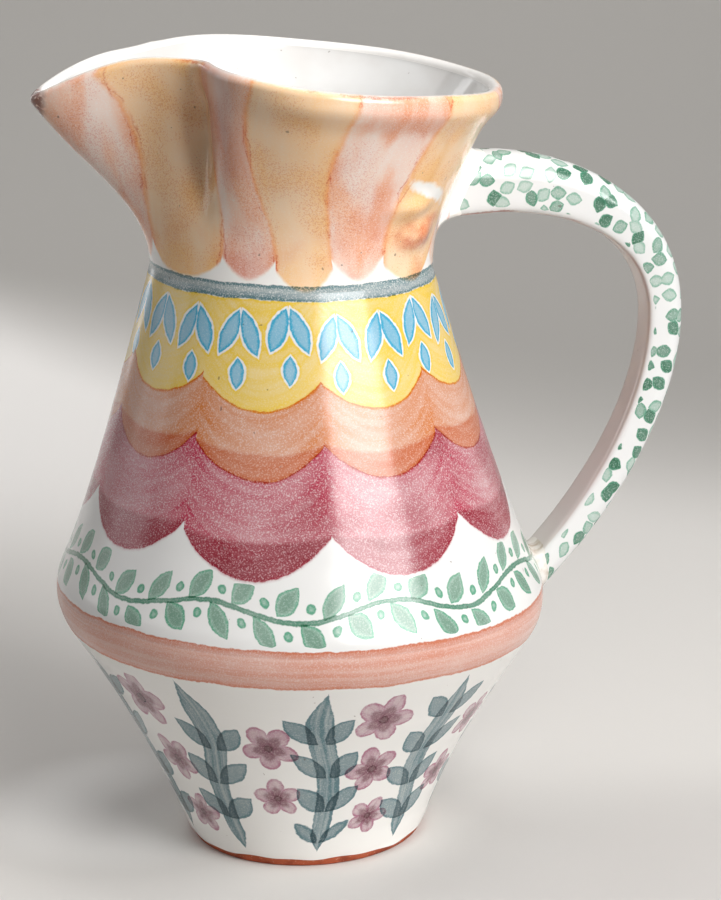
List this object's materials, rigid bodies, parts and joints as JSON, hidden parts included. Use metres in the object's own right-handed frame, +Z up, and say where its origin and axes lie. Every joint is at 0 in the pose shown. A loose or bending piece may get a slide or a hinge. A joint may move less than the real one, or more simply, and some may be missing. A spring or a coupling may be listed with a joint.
{
  "type": "pouring jug",
  "caption": "Glazed earthenware pouring jug with a wide shoulder, narrow waist, flared collar pinched into a spout, and a pulled strap handle at the back.",
  "frame": {"origin": "centre of the foot, on the plane that the jug stands on", "axes": "+Z up along the axis on which the jug is thrown; the spout points to -X and the handle to +X"},
  "size_m": [0.2232, 0.169, 0.2781],
  "materials": {
    "bowl_glaze": "glossy tin glaze, white with grey-blue and plum brushwork, over a bare terracotta foot",
    "cone_glaze": "glossy tin glaze with brushed yellow, orange and rose washes",
    "collar_glaze": "glossy tin glaze with brushed apricot and pink washes outside, white inside",
    "handle_glaze": "glossy white tin glaze with green brush marks"
  },
  "bodies": {
    "root": {"lower_bowl": "bowl_glaze", "upper_cone": "cone_glaze", "spouted_collar": "collar_glaze", "handle": "handle_glaze", "upper_handle_coil": "collar_glaze", "lower_handle_coil": "handle_glaze"}
  },
  "joints": []
}
